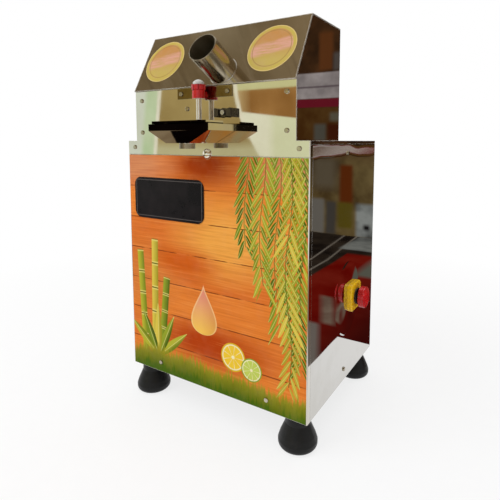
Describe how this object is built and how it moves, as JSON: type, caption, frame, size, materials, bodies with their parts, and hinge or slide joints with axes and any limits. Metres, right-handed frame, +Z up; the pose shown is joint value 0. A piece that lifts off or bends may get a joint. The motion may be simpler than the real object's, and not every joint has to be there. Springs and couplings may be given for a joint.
{
  "type": "tabletop sugarcane juicer",
  "caption": "Tabletop sugarcane juicer: printed steel cabinet on rubber feet, sloped head with feed tube, geared crushing rollers, juice tray, rinse tap and stop switch.",
  "frame": {"origin": "on the floor, under the middle of the overall box", "axes": "+Z up, +X to the right seen from the front, the front faces -Y"},
  "size_m": [0.4262, 0.4018, 0.707],
  "materials": {
    "polished_steel": "mirror-polished stainless sheet",
    "frame_steel": "painted welded steel",
    "plain_steel": "plain machined steel",
    "zinc": "zinc-plated fasteners",
    "rubber": "moulded black rubber",
    "print": "printed vinyl film",
    "black_plate": "gloss black plate",
    "sticker": "printed round sticker",
    "bronze": "bearing bronze",
    "cast_iron": "painted casting",
    "motor_paint": "painted motor frame",
    "dark_plate": "dark olive paint",
    "dark_knob": "moulded dark plastic",
    "red_plastic": "moulded red plastic",
    "yellow_plastic": "moulded yellow plastic",
    "black_plastic": "moulded black plastic",
    "hose": "clear-grey hose"
  },
  "bodies": {
    "machine": {"base_plate": "frame_steel", "frame": "frame_steel", "rubber_feet": "rubber", "foot_bolts": "zinc", "side_panel_left": "polished_steel", "side_panel_right": "polished_steel", "back_panel": "polished_steel", "deck_plate": "polished_steel", "front_cover": "polished_steel", "front_graphic": "print", "name_plate": "black_plate", "cover_bolt": "zinc", "panel_screws": "zinc", "front_plate": "polished_steel", "hood": "polished_steel", "head_side_left": "polished_steel", "head_side_right": "polished_steel", "head_back": "polished_steel", "hood_stickers": "sticker", "feed_tube": "polished_steel", "crusher_cheek_left": "frame_steel", "crusher_cheek_right": "frame_steel", "frame_bolts": "zinc", "tie_rods": "plain_steel", "roller_bushes": "bronze", "idler_shaft": "plain_steel", "trash_plate": "plain_steel", "front_scraper": "plain_steel", "gearbox_plate": "frame_steel", "gearbox_housing": "cast_iron", "motor_body": "motor_paint", "terminal_box": "motor_paint", "fan_cowl": "motor_paint", "juice_pan": "polished_steel", "tray_rods": "plain_steel", "bagasse_chute": "polished_steel", "tap_plate": "dark_plate", "tap_body": "red_plastic", "rinse_hose": "hose", "water_inlet": "bronze", "estop_box": "yellow_plastic", "estop_collar": "black_plastic", "estop_contact_block": "black_plastic", "cable_gland": "black_plastic", "internal_leads": "black_plastic"},
    "top_roller_body": {"top_roller": "plain_steel", "top_roller_gear": "plain_steel"},
    "front_roller_body": {"front_roller": "plain_steel", "front_roller_gear": "plain_steel"},
    "rear_roller_body": {"rear_roller": "plain_steel", "rear_roller_gear": "plain_steel"},
    "idler_body": {"idler_gear": "plain_steel"},
    "drive_body": {"drive_pinion": "plain_steel", "output_shaft": "plain_steel"},
    "tap_handle_body": {"tap_handle": "red_plastic"},
    "wing_knob_body": {"wing_knob": "dark_knob"},
    "stop_stem_body": {"estop_plunger": "black_plastic"},
    "stop_head_body": {"estop_head": "red_plastic"},
    "tray_body": {"juice_tray": "polished_steel"},
    "strainer_body": {"strainer": "polished_steel"}
  },
  "joints": [
    {"name": "top_roller_spin", "type": "hinge", "parent": "machine", "child": "top_roller_body", "pos_m": [0.0146, -0.03849, 0.61265], "axis": [1, 0, 0], "continuous": true},
    {"name": "front_roller_spin", "type": "hinge", "parent": "machine", "child": "front_roller_body", "pos_m": [0.0146, -0.07249, 0.56321], "axis": [1, 0, 0], "continuous": true},
    {"name": "rear_roller_spin", "type": "hinge", "parent": "machine", "child": "rear_roller_body", "pos_m": [0.0146, -0.00449, 0.56321], "axis": [1, 0, 0], "continuous": true},
    {"name": "idler_spin", "type": "hinge", "parent": "machine", "child": "idler_body", "pos_m": [0.0146, -0.00449, 0.49721], "axis": [1, 0, 0], "continuous": true},
    {"name": "drive_spin", "type": "hinge", "parent": "machine", "child": "drive_body", "pos_m": [0.0146, -0.00449, 0.43421], "axis": [1, 0, 0], "continuous": true},
    {"name": "tap_turn", "type": "hinge", "parent": "machine", "child": "tap_handle_body", "pos_m": [-0.0169, -0.1481, 0.584], "axis": [0, 0, 1], "range_deg": [0, 90]},
    {"name": "wing_knob_turn", "type": "hinge", "parent": "machine", "child": "wing_knob_body", "pos_m": [0.0281, -0.1311, 0.553], "axis": [0, -1, 0], "continuous": true},
    {"name": "stop_push", "type": "slide", "parent": "machine", "child": "stop_stem_body", "axis": [-1, 0, 0], "range_m": [0, 0.005], "stiffness_N_per_m": 600},
    {"name": "stop_twist", "type": "hinge", "parent": "stop_stem_body", "child": "stop_head_body", "pos_m": [0.1981, 0.0659, 0.211], "axis": [1, 0, 0], "range_deg": [0, 45], "stiffness_Nm_per_rad": 0.05},
    {"name": "tray_slide", "type": "slide", "parent": "machine", "child": "tray_body", "axis": [0, -1, 0], "range_m": [0, 0.075]},
    {"name": "strainer_lift", "type": "slide", "parent": "tray_body", "child": "strainer_body", "axis": [0, 0, 1], "range_m": [0, 0.05]}
  ],
  "couplings": [
    {"joint": "front_roller_spin", "follows": "top_roller_spin", "ratio": -1},
    {"joint": "rear_roller_spin", "follows": "top_roller_spin", "ratio": -1},
    {"joint": "idler_spin", "follows": "top_roller_spin", "ratio": 0.83333},
    {"joint": "drive_spin", "follows": "top_roller_spin", "ratio": -1.1111}
  ]
}
